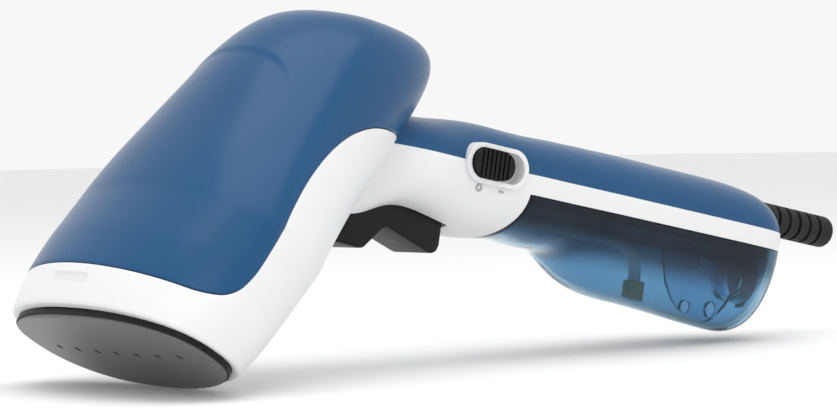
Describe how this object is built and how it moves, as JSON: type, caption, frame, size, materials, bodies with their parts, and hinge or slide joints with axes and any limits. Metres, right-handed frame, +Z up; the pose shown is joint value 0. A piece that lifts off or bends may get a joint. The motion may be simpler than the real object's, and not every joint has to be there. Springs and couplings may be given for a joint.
{
  "type": "handheld garment steamer",
  "caption": "Handheld garment steamer: wide steam head set at an angle on a grip with a clear slide-off water tank, trigger, slide switch and cord outlet.",
  "frame": {"origin": "bottom centre of the bounding box, with the steamer lying on its soleplate's lower lip and its tank", "axes": "+X along the steamer towards the cord outlet, +Y across it towards the side without the switch, +Z up; the mirror plane is Y = 0"},
  "size_m": [0.3042, 0.0989, 0.1056],
  "materials": {
    "blue_cover": "gloss",
    "white_shell": "satin",
    "black_plastic": "satin",
    "plate_coating": "satin non-stick",
    "black_seal": "matte",
    "boiler_cast": "cast",
    "element_steel": "drawn",
    "silicone_red": "matte",
    "silicone_hose": "matte",
    "carrier_plastic": "matte",
    "tank_clear": "clear tinted",
    "tank_lid_tint": "gloss",
    "screw_steel": "zinc plated",
    "pin_steel": "ground",
    "board_green": "satin",
    "brass_weight": "plain",
    "device_black": "matte",
    "pump_grey": "matte"
  },
  "bodies": {
    "main_body": {"head_top_cover": "blue_cover", "head_housing": "white_shell", "steam_plate": "plate_coating", "plate_rim": "black_plastic", "boiler_body": "boiler_cast", "heating_element": "element_steel", "boiler_gasket": "silicone_red", "boiler_lid": "boiler_cast", "thermostat": "device_black", "thermal_fuse": "device_black", "boiler_screws": "screw_steel", "boiler_carrier": "carrier_plastic", "handle_lower_shell": "white_shell", "handle_top_cover": "blue_cover", "trigger_pin": "pin_steel", "trigger_spring": "pin_steel", "microswitch": "device_black", "switch_bezel": "white_shell", "switch_body": "device_black", "strain_relief": "black_seal", "cord_clamp": "carrier_plastic", "clamp_screws": "screw_steel", "pump": "pump_grey", "pump_cradles": "black_seal", "feed_hose": "silicone_hose", "boiler_hose": "silicone_hose", "control_board": "board_green"},
    "water_tank_body": {"water_tank": "tank_clear", "tank_lid": "tank_lid_tint", "dock_seal": "black_seal", "suction_tube": "silicone_hose", "suction_weight": "brass_weight", "tank_valve": "carrier_plastic", "tank_baffle": "tank_lid_tint"},
    "fill_flap": {"fill_stopper": "black_seal"},
    "trigger_lever": {"trigger": "black_plastic"},
    "switch_slider": {"switch_cap": "black_plastic"},
    "microswitch_plunger": {"microswitch_button": "silicone_red"}
  },
  "joints": [
    {"name": "trigger_squeeze", "type": "hinge", "parent": "main_body", "child": "trigger_lever", "pos_m": [-0.05364, 0, 0.05387], "axis": [0, -1, 0], "range_deg": [0, 8], "stiffness_Nm_per_rad": 0.15, "springref_deg": -20.05, "deforming": ["trigger_spring"]},
    {"name": "microswitch_press", "type": "slide", "parent": "main_body", "child": "microswitch_plunger", "axis": [0.1942, 0, 0.981], "range_m": [0, 0.0018]},
    {"name": "power_switch_slide", "type": "slide", "parent": "main_body", "child": "switch_slider", "axis": [0.981, 0, -0.1942], "range_m": [0, 0.0046]},
    {"name": "tank_slide", "type": "slide", "parent": "main_body", "child": "water_tank_body", "axis": [0.981, 0, -0.1942], "range_m": [0, 0.15]},
    {"name": "fill_flap_hinge", "type": "hinge", "parent": "water_tank_body", "child": "fill_flap", "pos_m": [0.11159, 0, 0.00954], "axis": [0, 1, 0], "range_deg": [0, 95]}
  ],
  "couplings": [
    {"joint": "microswitch_press", "follows": "trigger_squeeze", "m_per_rad": 0.0118}
  ]
}
